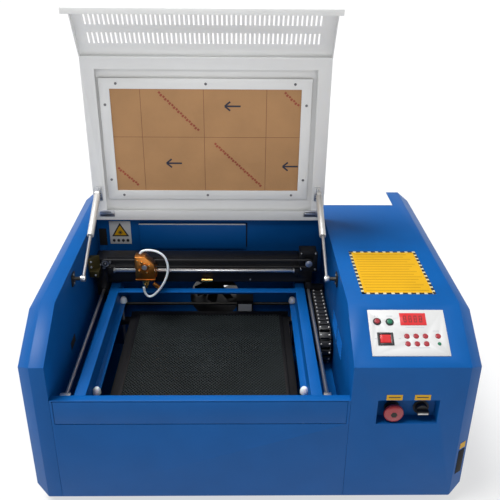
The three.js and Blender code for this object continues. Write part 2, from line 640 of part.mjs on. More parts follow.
function controls() {
  const keys = KEY_ROWS.flatMap((v) => KEY_COLUMNS.map((x) => [x, v]));
  keys.push(LASER_KEY);
  const holes = keys.map(([x, v]) => bar("z", 5.5, -10, 10, x, v, 20));
  for (const [x, v] of Object.values(ROUND)) holes.push(bar("z", ROUND_R + GAP, -10, 10, x, v, 20));
  const { x, v, half, halfV } = ROCKER;
  holes.push(box(x - half - 0.8, x + half + 0.8, v - halfV - 0.8, v + halfV + 0.8, -10, 10));
  node("control_plate", cut(box(PANEL.x0, PANEL.x1, PANEL.v0, PANEL.v1, -3, 1), ...holes), panelFilm, panel);
  keys.forEach(([kx, kv], i) => {
    node("key_" + (i + 1), bar("z", 5.2, -3.6, 2, kx, kv, 20), redPlastic, panel);
  });
  node("red_button", bar("z", ROUND_R, -6, 4.5, ...ROUND.red, 24), redPlastic, panel);
  node("green_button", bar("z", ROUND_R, -6, 4.5, ...ROUND.green, 24), greenPlastic, panel);
  const wedge = outline([
    [-halfV, -4],
    [halfV, -4],
    [halfV, 4],
    [0, 2.4],
    [-halfV, 2.4],
  ]);
  const rocker = groupAt(x, v, 0, panel);
  node("rocker_switch", alongX(wedge, -half, half), redPlastic, rocker);
  const mushroom = [
    [0, 1],
    [14, 1],
    [19, 4],
    [19.5, 9],
    [16, 12],
    [9, 12],
    [9, RECESS.depth - 5],
    [0, RECESS.depth - 5],
  ].map(([r, d]) => new THREE.Vector2(r, d));
  const stop = orient(new THREE.LatheGeometry(mushroom, 28)).translate(STOP_X, 0, SWITCH_Z);
  node("estop_button", stop, redPlastic);
  const knob = join(
    bar("y", 11.5, 14, RECESS.depth - 0.5, SELECTOR_X, SWITCH_Z, 24),
    box(SELECTOR_X - 11, SELECTOR_X + 11, 5, 15, SWITCH_Z - 3, SWITCH_Z + 3),
  );
  node("selector_knob", knob, blackPlastic);
  node("power_supply", box(250, 370, 250, 480, 4, 130), steel);
}

leftHousing();
rightHousing();
bottomAndFeet();
frontPanel();
rearBulkhead();
rearPanel();
deckFrame();
lidShell();
strut("left", LID.left + STRUT.inset, CHAMBER.left);
strut("right", LID.right - STRUT.inset, CHAMBER.right);
gantry();
laserHead();
yMotion();
dragChain();
bed();
tubeCompartment();
exhaustFan();
controls();

machine.position.set(0, -DEPTH / 2, FOOT_HEIGHT);
const part = new THREE.Group();
part.add(machine);

export default part;
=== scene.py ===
"""Looks of the desktop laser cutter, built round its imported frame."""
import json
import math

import bmesh
import bpy
from mathutils import Matrix, Vector


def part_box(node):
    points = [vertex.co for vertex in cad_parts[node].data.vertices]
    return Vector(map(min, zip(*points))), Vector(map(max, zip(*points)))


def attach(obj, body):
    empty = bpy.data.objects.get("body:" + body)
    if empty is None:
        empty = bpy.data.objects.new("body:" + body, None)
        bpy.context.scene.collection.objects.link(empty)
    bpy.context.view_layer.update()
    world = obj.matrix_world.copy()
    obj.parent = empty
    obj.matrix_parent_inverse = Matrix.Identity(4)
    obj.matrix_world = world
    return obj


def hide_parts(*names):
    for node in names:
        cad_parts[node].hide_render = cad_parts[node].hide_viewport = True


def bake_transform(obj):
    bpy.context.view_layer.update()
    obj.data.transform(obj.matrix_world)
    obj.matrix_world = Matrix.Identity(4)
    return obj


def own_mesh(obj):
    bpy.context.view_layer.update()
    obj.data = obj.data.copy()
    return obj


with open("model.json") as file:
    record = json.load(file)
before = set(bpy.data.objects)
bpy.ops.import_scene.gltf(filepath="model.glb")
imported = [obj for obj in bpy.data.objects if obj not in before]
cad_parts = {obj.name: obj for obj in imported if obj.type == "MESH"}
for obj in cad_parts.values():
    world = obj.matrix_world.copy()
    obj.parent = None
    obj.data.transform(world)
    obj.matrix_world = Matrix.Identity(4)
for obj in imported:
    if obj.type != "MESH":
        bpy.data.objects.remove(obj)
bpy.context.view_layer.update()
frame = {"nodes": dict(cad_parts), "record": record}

# ---- sizes in the machine's own millimetres ----
WIDTH = 860
EDGE_BEVEL, EDGE_INSET = 25, 18  # each side's outer bevel: its reach across and how far it pulls in
WINDOW_X0, WINDOW_X1, WINDOW_Y0, WINDOW_Y1 = -312, 117, 199, 443  # the papered window, lid drawn closed
HEAD_X = -243
FAN_X, FAN_Z = -85, 150
STOP_X, SELECTOR_X, SWITCH_Z = 272.5, 329, 204.5
CHAIN_Z, CHAIN_BEND_Y, CHAIN_RADIUS, LINK_PITCH = 181, 285, 35, 16

# ---- frames: the machine, the lid as drawn closed, and the sloping panel ----
MACHINE = Matrix.Translation((0, -0.35, 0.022)) @ Matrix.Scale(0.001, 4)
PIVOT = Matrix.Translation((0, 520.5, 382))
LID = MACHINE @ PIVOT @ Matrix.Rotation(math.radians(-88.6), 4, "X") @ PIVOT.inverted()
SLOPE = math.atan2(67, 120)
PANEL = MACHINE @ Matrix.Translation((0, 0, 315)) @ Matrix.Rotation(SLOPE, 4, "X")
LID_SLOPE = LID @ Matrix.Translation((0, 8, 315)) @ Matrix.Rotation(SLOPE, 4, "X")


# ---- materials ----
def surface(name, color, rough, metal=0.0, vary=0.08, grain=900, bump=0.05, stretch=(1, 1, 1), **sockets):
    """A finish whose colour, roughness and relief come from noise at the scale of the real grain."""
    mat = bpy.data.materials.new(name)
    mat.use_nodes = True
    nodes, links = mat.node_tree.nodes, mat.node_tree.links
    shader = nodes["Principled BSDF"]
    shader.inputs["Metallic"].default_value = metal
    for key, value in sockets.items():
        shader.inputs[key.replace("_", " ")].default_value = value
    place = nodes.new("ShaderNodeTexCoord")
    mapping = nodes.new("ShaderNodeMapping")
    mapping.inputs["Scale"].default_value = stretch
    links.new(place.outputs["Object"], mapping.inputs["Vector"])
    broad = nodes.new("ShaderNodeTexNoise")
    broad.inputs["Scale"].default_value = 14
    broad.inputs["Detail"].default_value = 5
    fine = nodes.new("ShaderNodeTexNoise")
    fine.inputs["Scale"].default_value = grain
    fine.inputs["Detail"].default_value = 2
    links.new(place.outputs["Object"], broad.inputs["Vector"])
    links.new(mapping.outputs["Vector"], fine.inputs["Vector"])
    ramp = nodes.new("ShaderNodeValToRGB")
    ramp.color_ramp.elements[0].position = 0.3
    ramp.color_ramp.elements[1].position = 0.7
    ramp.color_ramp.elements[0].color = [c * (1 - vary) for c in color] + [1]
    ramp.color_ramp.elements[1].color = [min(1, c * (1 + vary)) for c in color] + [1]
    links.new(broad.outputs["Fac"], ramp.inputs["Fac"])
    links.new(ramp.outputs["Color"], shader.inputs["Base Color"])
    spread = nodes.new("ShaderNodeMapRange")
    spread.inputs["To Min"].default_value = max(0.03, rough - 0.06)
    spread.inputs["To Max"].default_value = min(1, rough + 0.06)
    links.new(fine.outputs["Fac"], spread.inputs["Value"])
    links.new(spread.outputs["Result"], shader.inputs["Roughness"])
    relief = nodes.new("ShaderNodeBump")
    relief.inputs["Strength"].default_value = bump
    relief.inputs["Distance"].default_value = 0.0003
    links.new(fine.outputs["Fac"], relief.inputs["Height"])
    links.new(relief.outputs["Normal"], shader.inputs["Normal"])
    return mat


def crumple(mat, scale, distance):
    """Adds slow creases under a finish's fine grain."""
    nodes, links = mat.node_tree.nodes, mat.node_tree.links
    place = next(n for n in nodes if n.type == "TEX_COORD")
    fine = next(n for n in nodes if n.type == "BUMP")
    noise = nodes.new("ShaderNodeTexNoise")
    noise.inputs["Scale"].default_value = scale
    noise.inputs["Detail"].default_value = 3
    noise.inputs["Distortion"].default_value = 1.4
    relief = nodes.new("ShaderNodeBump")
    relief.inputs["Strength"].default_value = 0.35
    relief.inputs["Distance"].default_value = distance
    links.new(place.outputs["Object"], noise.inputs["Vector"])
    links.new(noise.outputs["Fac"], relief.inputs["Height"])
    links.new(relief.outputs["Normal"], fine.inputs["Normal"])


blue = surface(
    "blue_powder", (0.002, 0.082, 0.298), 0.42, vary=0.05, grain=1100, bump=0.12, Specular_IOR_Level=0.16
)
cylinder_grey = surface("strut_cylinder", (0.58, 0.57, 0.55), 0.4, 0.35, vary=0.04, grain=1400)
white = surface("white_powder", (0.79, 0.795, 0.79), 0.46, vary=0.02, grain=1100, bump=0.12)
black_alu = surface("black_anodised", (0.012, 0.012, 0.014), 0.42, 0.55, grain=2200, stretch=(0.05, 1, 1))
dark_iron = surface("dark_iron", (0.035, 0.033, 0.03), 0.5, 0.7, vary=0.2, grain=1600)
steel = surface("ground_steel", (0.66, 0.67, 0.68), 0.36, 1.0, vary=0.04, grain=2600, stretch=(0.03, 1, 1))
zinc = surface("zinc_screws", (0.55, 0.56, 0.58), 0.32, 1.0, vary=0.12, grain=1800)
screw_grey = surface("screw_grey", (0.2, 0.2, 0.21), 0.4, 0.7, vary=0.15, grain=1800)
alu = surface("mill_aluminium", (0.6, 0.61, 0.63), 0.36, 1.0, vary=0.05, grain=1900, stretch=(0.06, 1, 1))
copper = surface("copper_anodised", (0.66, 0.25, 0.055), 0.3, 1.0, vary=0.12, grain=1500, bump=0.08)
brass = surface("bright_brass", (0.72, 0.44, 0.14), 0.25, 1.0, vary=0.1, grain=1500)
paper = surface("brown_paper", (0.455, 0.245, 0.105), 0.72, vary=0.07, grain=1700, bump=0.25)
crumple(paper, 16, 0.004)
film = surface("panel_film", (0.56, 0.565, 0.565), 0.42, vary=0.02, grain=1500)
red = surface("red_gloss", (0.30, 0.02, 0.03), 0.3, vary=0.06, grain=900, Coat_Weight=0.3)
lamp_red = surface("lamp_red", (0.46, 0.02, 0.025), 0.22, grain=500, Emission_Strength=0.12)
lamp_red.node_tree.nodes["Principled BSDF"].inputs["Emission Color"].default_value = (0.9, 0.05, 0.03, 1)
green = surface("green_gloss", (0.008, 0.14, 0.07), 0.28, grain=900, Coat_Weight=0.3)
black = surface("black_moulding", (0.014, 0.014, 0.016), 0.48, vary=0.15, grain=1300, bump=0.2)
rubber = surface("rubber", (0.013, 0.013, 0.014), 0.8, vary=0.2, grain=1200, bump=0.3)
hose = surface("hose_plastic", (0.72, 0.73, 0.78), 0.32, vary=0.04, grain=600, Subsurface_Weight=0.15)
yellow = surface("yellow_label", (0.60, 0.33, 0.006), 0.42, vary=0.04, grain=900, Specular_IOR_Level=0.25)
ink = surface("ink", (0.015, 0.015, 0.02), 0.5, grain=900)
faint = surface("faint_print", (0.36, 0.19, 0.004), 0.45, grain=900, Specular_IOR_Level=0.25)
grey_print = surface("grey_print", (0.38, 0.40, 0.43), 0.5, grain=900)
rust_ink = surface("rust_ink", (0.33, 0.065, 0.03), 0.6, vary=0.2, grain=1500)
line_ink = surface("line_ink", (0.22, 0.085, 0.035), 0.65, vary=0.1, grain=1500)
navy_ink = surface("navy_ink", (0.016, 0.02, 0.045), 0.6, vary=0.2, grain=1500)
pale = surface("pale_print", (0.55, 0.50, 0.30), 0.5, grain=900)
bronze = surface("bronze_mount", (0.055, 0.045, 0.012), 0.4, 0.6, vary=0.25, grain=1500)
strand = surface("bed_strands", (0.034, 0.043, 0.045), 0.45, 0.3, vary=0.15, grain=1500)
# A near-black finish for painted shade: flat dark sheets set where holes, slots and gaps show only shade.
shade = surface("painted_opening_shade", (0.006, 0.006, 0.008), 0.9, grain=600)
glass = surface(
    "tube_glass", (0.85, 0.92, 0.95), 0.06, vary=0.01, grain=300, bump=0.0, Transmission_Weight=0.85
)


# ---- mesh helpers ----
class Kit:
    """Collects mesh shapes given in millimetres of one frame, and turns them into one piece."""

    def __init__(self, base=MACHINE):
        self.base = base
        self.bm = bmesh.new()

    def take(self, part, turn=Matrix()):
        part.transform(self.base @ turn)
        mesh = bpy.data.meshes.new("part")
        part.to_mesh(mesh)
        part.free()
        self.bm.from_mesh(mesh)
        bpy.data.meshes.remove(mesh)
        return self

    def box(self, x0, x1, y0, y1, z0, z1, bevel=0.4, turn=Matrix()):
        part = bmesh.new()
        bmesh.ops.create_cube(part, size=1)
        bmesh.ops.scale(part, vec=(x1 - x0, y1 - y0, z1 - z0), verts=part.verts)
        bmesh.ops.translate(part, vec=((x0 + x1) / 2, (y0 + y1) / 2, (z0 + z1) / 2), verts=part.verts)
        if bevel:
            most = 0.3 * min(x1 - x0, y1 - y0, z1 - z0)
            width = min(bevel, most)
            bmesh.ops.bevel(part, geom=part.edges[:], offset=width, segments=2, profile=0.5, affect="EDGES")
        return self.take(part, turn)

    def plate(self, outline, push):
        """A flat outline of points, pushed along a vector."""
        part = bmesh.new()
        front = [part.verts.new(p) for p in outline]
        back = [part.verts.new(Vector(p) + Vector(push)) for p in outline]
        part.faces.new(front)
        part.faces.new(back[::-1])
        for i in range(len(front)):
            j = (i + 1) % len(front)
            part.faces.new((front[i], front[j], back[j], back[i]))
        bmesh.ops.recalc_face_normals(part, faces=part.faces)
        return self.take(part)

    def lathe(self, profile, x, y, z, axis="z", sides=32):
        """Turns (radius, height) points round an axis through x, y, z."""
        part = bmesh.new()
        rings = []
        for r, h in profile:
            ring = []
            for i in range(sides if r > 1e-6 else 1):
                a = 2 * math.pi * i / sides
                ring.append(part.verts.new((r * math.cos(a), r * math.sin(a), h)))
            rings.append(ring)
        for a, b in zip(rings, rings[1:]):
            for i in range(sides):
                j = (i + 1) % sides
                corners = [a[i % len(a)], a[j % len(a)], b[j % len(b)], b[i % len(b)]]
                corners = list(dict.fromkeys(corners))
                if len(corners) > 2:
                    part.faces.new(corners)
        bmesh.ops.recalc_face_normals(part, faces=part.faces)
        turn = {
            "x": Matrix.Rotation(math.pi / 2, 4, "Y"),
            "y": Matrix.Rotation(-math.pi / 2, 4, "X"),
            "z": Matrix(),
        }
        return self.take(part, Matrix.Translation((x, y, z)) @ turn[axis])

    def rod(self, axis, r, a, b, p, q, edge=0.5, sides=32):
        """A round bar from a to b along an axis, with eased rims."""
        edge = min(edge, 0.3 * r, 0.3 * abs(b - a))
        profile = [(0, a), (r - edge, a), (r, a + edge), (r, b - edge), (r - edge, b), (0, b)]
        place = {"x": (0, p, q), "y": (p, 0, q), "z": (p, q, 0)}[axis]
        return self.lathe(profile, *place, axis=axis, sides=sides)

    def screw(self, x, y, z, axis="z", r=3.0, sign=1):
        """A domed head with a hex socket sunk in it."""
        s = sign
        profile = [(0, -0.2 * s), (r, -0.2 * s), (r, 0), (r, 0.5 * s), (0.8 * r, 1.1 * s)]
        profile += [(0.42 * r, 1.4 * s), (0.4 * r, 0.7 * s), (0, 0.7 * s)]
        return self.lathe(profile, x, y, z, axis=axis, sides=18)

    def put(self, name, body, mat, slot=None, stands_for=()):
        return finish_piece(name, self.bm, body, mat, stands_for)


def soften(mesh, angle=35):
    for polygon in mesh.polygons:
        polygon.use_smooth = True
    mesh.set_sharp_from_angle(angle=math.radians(angle))


def finish_piece(name, bm, body, mat, stands_for=()):
    mesh = bpy.data.meshes.new(name)
    bm.to_mesh(mesh)
    bm.free()
    soften(mesh)
    mesh.materials.append(mat)
    piece = bpy.data.objects.new(name, mesh)
    bpy.context.scene.collection.objects.link(piece)
    if body:
        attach(piece, body)
    if stands_for:
        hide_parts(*stands_for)
    return piece


BODY_OF = {n: body for body, names in frame["record"]["behaviour"]["bodies"].items() for n in names}


def skin(node, mat, bevel=0.5, cutter=None):
    """A copy of a CAD node with eased edges and its finish, standing for the node."""
    bm = bmesh.new()
    bm.from_mesh(frame["nodes"][node].data)
    bmesh.ops.remove_doubles(bm, verts=bm.verts, dist=1e-6)
    bmesh.ops.dissolve_limit(bm, angle_limit=math.radians(0.6), verts=bm.verts, edges=bm.edges)
    mesh = bpy.data.meshes.new(node + "_rough")
    bm.to_mesh(mesh)
    bm.free()
    rough = bpy.data.objects.new(node + "_rough", mesh)
    bpy.context.scene.collection.objects.link(rough)
    if bevel:
        ease = rough.modifiers.new("ease", "BEVEL")
        ease.width = bevel * 0.001
        ease.segments = 2
        ease.limit_method = "ANGLE"
        ease.angle_limit = math.radians(32)
    if cutter:
        hole = rough.modifiers.new("hole", "BOOLEAN")
        hole.operation = "DIFFERENCE"
        hole.solver = "EXACT"
        hole.object = cutter
    bpy.context.view_layer.update()
    shown = bpy.data.meshes.new_from_object(rough.evaluated_get(bpy.context.evaluated_depsgraph_get()))
    bpy.data.objects.remove(rough)
    if cutter:
        bpy.data.objects.remove(cutter)
    bm = bmesh.new()
    bm.from_mesh(shown)
    return finish_piece(node + "_skin", bm, BODY_OF[node], mat, (node,))


def wire(name, points, radius, body, mat, stands_for=()):
    """A smooth round tube through points, as one piece."""
    curve = bpy.data.curves.new(name, "CURVE")
    curve.dimensions = "3D"
    curve.bevel_depth = radius * 0.001
    curve.bevel_resolution = 5
    curve.use_fill_caps = True
    spline = curve.splines.new("NURBS")
    spline.points.add(len(points) - 1)
    for target, point in zip(spline.points, points):
        target.co = (MACHINE @ Vector(point)).to_4d()
    spline.use_endpoint_u = True
    spline.order_u = 4
    spline.resolution_u = 10
    curve.materials.append(mat)
    piece = bpy.data.objects.new(name, curve)
    bpy.context.scene.collection.objects.link(piece)
    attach(piece, body)
    if stands_for:
        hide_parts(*stands_for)
    return piece


def rotated(deg, axis, centre):
    move = Matrix.Translation(centre)
    return move @ Matrix.Rotation(math.radians(deg), 4, axis) @ move.inverted()


# ---- camera, light and floor ----
def stage():
    pitch, yaw, roll = 0.461, 0.0185, -0.0101
    cp, sp, cy, sy, cr, sr = (f(a) for a in (pitch, yaw, roll) for f in (math.cos, math.sin))
    look = Vector((sy * cp, cy * cp, -sp))
    side = Vector((cy, -sy, 0))
    down = look.cross(side)
    right = cr * side + sr * down
    under = -sr * side + cr * down
    data = bpy.data.cameras.new("camera")
    data.lens = 49.4
    data.sensor_width = 36
    camera = bpy.data.objects.new("camera", data)
    turn = Matrix((right, -under, -look)).transposed().to_4x4()
    camera.matrix_world = Matrix.Translation((-0.0235, -1.373, 1.085)) @ turn
    bpy.context.scene.collection.objects.link(camera)
    bpy.context.scene.camera = camera

    bpy.context.scene.view_settings.view_transform = "Standard"
    world = bpy.data.worlds.new("studio")
    world.use_nodes = True
    world.node_tree.nodes["Background"].inputs["Color"].default_value = (1, 1, 1, 1)
    world.node_tree.nodes["Background"].inputs["Strength"].default_value = 0.15
    bpy.context.scene.world = world

    # A broad sun high on the left stands for the soft box, and a weak one on the right opens its shadows.
    suns = (("key", (0.36, 0.02, -0.93), 4.3, 26), ("fill", (-0.6, 0.05, -0.8), 0.45, 60))
    for name, aim, power, spread in suns:
        lamp = bpy.data.lights.new(name, "SUN")
        lamp.energy = power
        lamp.angle = math.radians(spread)
        holder = bpy.data.objects.new(name, lamp)
        holder.rotation_euler = Vector(aim).to_track_quat("-Z", "Y").to_euler()
        bpy.context.scene.collection.objects.link(holder)
    # A soft spot from above the front reaches the open lid and the back of the chamber.
    lamp = bpy.data.lights.new("chamber", "SPOT")
    lamp.energy = 25
    lamp.spot_size = math.radians(43)
    lamp.spot_blend = 1
    lamp.shadow_soft_size = 0.22
    holder = bpy.data.objects.new("chamber", lamp)
    place, target = Vector((-0.12, -0.95, 1.3)), Vector((-0.1, 0.19, 0.38))
    holder.location = place
    holder.rotation_euler = (target - place).to_track_quat("-Z", "Y").to_euler()
    bpy.context.scene.collection.objects.link(holder)

    bm = bmesh.new()
    bmesh.ops.create_grid(bm, x_segments=4, y_segments=4, size=80)
    mat = surface("floor", (0.25, 0.25, 0.25), 0.9, vary=0.01, grain=40, bump=0.02, Emission_Strength=0.64)
    floor = finish_piece("floor", bm, None, mat)
    # A low pale wall far away, so that the floor runs on without an edge.
    mat = surface("backdrop", (0.25, 0.25, 0.25), 0.9, vary=0.01, grain=40, bump=0.0, Emission_Strength=0.84)
    wall = Kit(Matrix())
    wall.lathe([(70, 0), (70, 12)], 0, 0, 0, sides=96)
    wall.put("backdrop", None, mat)


# ---- cabinet ----
def cabinet():
    for node in ("left_housing", "right_housing", "bottom_pan", "front_panel", "rear_panel", "deck_frame"):
        skin(node, blue, 0.6)
    skin("rear_bulkhead", blue, 0.6)
    skin("front_flap", blue, 0.4)
    skin("tube_cover", white, 0.6)
    for node in ("foot_front_left", "foot_front_right", "foot_rear_left", "foot_rear_right"):
        skin(node, rubber, 1.5)

    vents = Kit()
    for row in range(6):
        z = 232 + row * 7
        for y in (141, 214):
            vents.box(186.6, 188.2, y, y + 64, z, z + 1.3, 0.4)
    vents.put("wall_louvres", "cabinet", blue, "blue_paint")

    side = Kit()
    for sign in (-1, 1):
        for i in range(14):
            y = 330 + i * 17
            side.box(sign * 430.3 - 0.7, sign * 430.3 + 0.7, y, y + 5, 120, 190, 0.4)
    side.put("side_vent_ribs", "cabinet", blue, "blue_paint")

    caps = Kit()
    dome = [(0, 0), (8.4, 0), (8.6, 4), (7.6, 9), (4.8, 13), (0, 14.5)]
    for x in (-305, 108):
        for y in (78, 432):
            caps.lathe(dome, x, y, 197.2)
    caps.put("screw_caps", "cabinet", hose, "hose_plastic")

    screws = Kit()
    for x in (-366, 366):
        for z in (40, 330):
            screws.screw(x, 700, z, "y", 3.2, 1)
    for x in (-200, 0):
        screws.screw(x, 700, 40, "y", 3.2, 1)
        screws.screw(x, 700, 340, "y", 3.2, 1)
    screws.put("cabinet_screws", "cabinet", zinc, "bright_steel")

    wall = Kit()
    wall.box(-271, -6, 529.2, 530.4, 361, 364, 0.3)
    wall.box(-346, -293, 538.6, 539.8, 304, 366, 0.3)
    wall.put("wall_plates", "cabinet", film, "panel_film")
    mark, core = Kit(), Kit()
    corners = [(-341, 325), (-298, 325), (-319.5, 362)]
    mark.plate([(x, 538.5, z) for x, z in corners], (0, -0.3, 0))
    centre = Vector((-319.5, 538.2, 337.3))
    core.plate([centre + 0.72 * (Vector((x, 538.2, z)) - centre) for x, z in corners], (0, -0.2, 0))
    for i in range(4):
        turn = rotated(i * 45, "Y", (-319.5, 538, 336))
        mark.box(-325.5, -313.5, 537.7, 538.0, 335.2, 336.8, 0, turn)
    for i in range(4):
        x = -340 + i * 11.5
        mark.box(x, x + 7, 538.2, 538.5, 311, 316.5, 0)
        mark.box(x + 2, x + 5, 538.1, 538.4, 309.5, 318, 0)
    mark.put("warning_mark", "cabinet", ink, "black_plastic")
    core.put("warning_field", "cabinet", yellow, "panel_film")
    # Near-black plates painted as the shade in the bulkhead slit and in the wall holes.
    slit = Kit()
    slit.box(-7, -2, 538.2, 539.9, 297, 362, 0.2)
    slit.box(-373, -354, 538.6, 539.9, 300, 346, 3)
    slit.box(-377, -376.2, 190, 228, 222, 240, 0.2)
    slit.put("wall_opening_shade", "cabinet", shade, "black_plastic")


def labels():
    plate = Kit()
    plate.box(221, 369, 152, 341, 381.9, 382.25, 0)
    for x0, x1 in ((254, 284), (307, 337)):
        plate.box(x0, x1, -0.25, 0.3, 241, 253, 0)
    plate.put("yellow_labels", "cabinet", yellow, "panel_film")
    dark, light = Kit(), Kit()
    left, right, front, rear, band = 221, 369, 152, 341, 5.5
    light.box(left, right, front, front + band, 382.2, 382.32, 0)
    light.box(left, right, rear - band, rear, 382.2, 382.32, 0)
    light.box(left, left + band, front + band, rear - band, 382.2, 382.32, 0)
    light.box(right - band, right, front + band, rear - band, 382.2, 382.32, 0)
    across, along = (right - left) / 9, (rear - front) / 12
    for i in range(9):
        x = left + i * across
        for y in (front, rear - band):
            dark.box(x, x + 0.58 * across, y, y + band, 382.3, 382.45, 0)
    for i in range(12):
        y = front + i * along
        for x in (left, right - band):
            dark.box(x, x + band, y, y + 0.58 * along, 382.3, 382.45, 0)
    for x0 in (258, 311):
        dark.box(x0, x0 + 22, -0.35, 0, 246.2, 248.4, 0)
    dark.put("hazard_dark", "cabinet", ink, "black_plastic")
    light.put("hazard_light", "cabinet", pale, "panel_film")
    rows = Kit()
    for i in range(15):
        y = 166 + i * 11.3
        rows.box(232, 358 - (i * 37) % 23, y, y + 2.0, 382.2, 382.3, 0)
    rows.put("label_rules", "cabinet", faint, "panel_film")


# ---- lid ----
def lid():
    slots = Kit(LID_SLOPE)
    for v0, v1 in ((22, 53.5), (74, 102)):
        for i in range(51):
            x = -343 + i * 9.8
            slots.box(x - 1.9, x + 1.9, v0, v1, -8, 4, 0)
    cutter = slots.put("slot_cutter", None, white)
    skin("lid_shell", white, 0.5, cutter)
    skin("lid_frame", white, 0.4)
    skin("lid_window", paper, 0.0)

    heads = Kit(LID)
    for x in (-297, -97.5, 102):
        heads.screw(x, 187, 373.4, r=3.0, sign=-1)
        heads.screw(x, 454, 373.4, r=3.0, sign=-1)
    for y in (235, 415):
        for x in (-324, 129):
            heads.screw(x, y, 373.4, r=3.0, sign=-1)
    heads.put("frame_screws", "lid", screw_grey, "bright_steel")

    lines = Kit(LID)
    for x in (-245, -103, 39):
        lines.box(x - 0.5, x + 0.5, WINDOW_Y0, WINDOW_Y1, 376.55, 376.75, 0)
    lines.box(WINDOW_X0, WINDOW_X1, 310.5, 311.5, 376.55, 376.75, 0)
    lines.put("paper_lines", "lid", line_ink, "papered_acrylic")
    marks = Kit(LID)
    for fx, fy in ((0.32, 0.72), (0.64, 0.16), (0.955, 0.75)):
        x = WINDOW_X0 + fx * (WINDOW_X1 - WINDOW_X0)
        y = WINDOW_Y0 + fy * (WINDOW_Y1 - WINDOW_Y0)
        right = min(x + 18, 116.5)
        marks.box(x - 18, right, y - 1.9, y + 1.9, 376.45, 376.7, 0)
        for sign in (-1, 1):
            turn = rotated(sign * 40, "Z", (x - 18, y, 376))
            marks.box(x - 18, x - 2, y - 1.9, y + 1.9, 376.4, 376.65, 0, turn)
    marks.put("paper_marks", "lid", navy_ink, "papered_acrylic")
    dashes, span = Kit(LID), Vector((WINDOW_X1 - WINDOW_X0, WINDOW_Y1 - WINDOW_Y0, 0))
    runs = (
        ((0.25, 0.03), (0.46, 0.40)),
        ((0.54, 0.52), (0.80, 0.96)),
        ((0.01, 0.77), (0.12, 0.95)),
        ((0.91, 0.03), (0.99, 0.16)),
    )
    for (ax, ay), (bx, by) in runs:
        a = Vector((WINDOW_X0 + ax * span.x, WINDOW_Y0 + ay * span.y, 0))
        b = Vector((WINDOW_X0 + bx * span.x, WINDOW_Y0 + by * span.y, 0))
        count = max(3, int((b - a).length / 6.4))
        for i in range(count):
            p = a.lerp(b, (i + 0.5) / count)
            turn = rotated(math.degrees(math.atan2(b.y - a.y, b.x - a.x)), "Z", p)
            low, high = p.y - 3.6 + i % 2, p.y + 1.2 + 2 * (i % 2)
            dashes.box(p.x - 2.9, p.x + 1.9, low, high, 376.4, 376.7, 0, turn)
    dashes.put("paper_dashes", "lid", rust_ink, "papered_acrylic")

    brackets, slots = Kit(LID), Kit(LID)
    face = 367.4
    for x, inward in ((-354, 1), (165, -1)):
        brackets.box(x - 8, x + 6, 430, 466, face - 2, face, 0.5)
        brackets.rod("z", 3.2, 340, face, x, 438.3, 0.5, 20)
        near, far = sorted((x - 5 * inward, x + 31 * inward))
        brackets.box(near, far, 491, 508, face - 2, face, 0.5)
        # The bracket slots are thin near-black strips, painted shade where the slots would show through.
        for i in range(3):
            slots.box(x - 5, x + 3, 446 + 6 * i, 448.6 + 6 * i, face - 2.2, face - 1.8, 0)
        for y in (495, 503):
            slots.box(near + 2, far - 8, y, y + 1.6, face - 2.2, face - 1.8, 0)
        brackets.screw((near + far) / 2 + 14 * inward, 499.5, face - 2, r=2.6, sign=-1)
    brackets.put("lid_brackets", "lid", zinc, "bright_steel")
    slots.put("bracket_slot_shade", "lid", shade, "black_plastic")
    heads = Kit()
    for side, x, sign in (("left", -373.4, 1), ("right", 184.4, -1)):
        skin("strut_cylinder_" + side, cylinder_grey, 0.3)
        skin("strut_rod_" + side, steel, 0.2)
        skin("strut_bracket_" + side, dark_iron, 0.4)
        for z in (345, 365):
            heads.screw(x, 262, z, "x", 2.6, sign)
    heads.put("strut_bracket_screws", "cabinet", zinc, "bright_steel")

    hinge = Kit()
    for x in (-340, 120):
        hinge.rod("x", 3.0, x - 22, x + 22, 520.5, 383.0)
    hinge.put("lid_knuckles", "cabinet", zinc, "bright_steel")


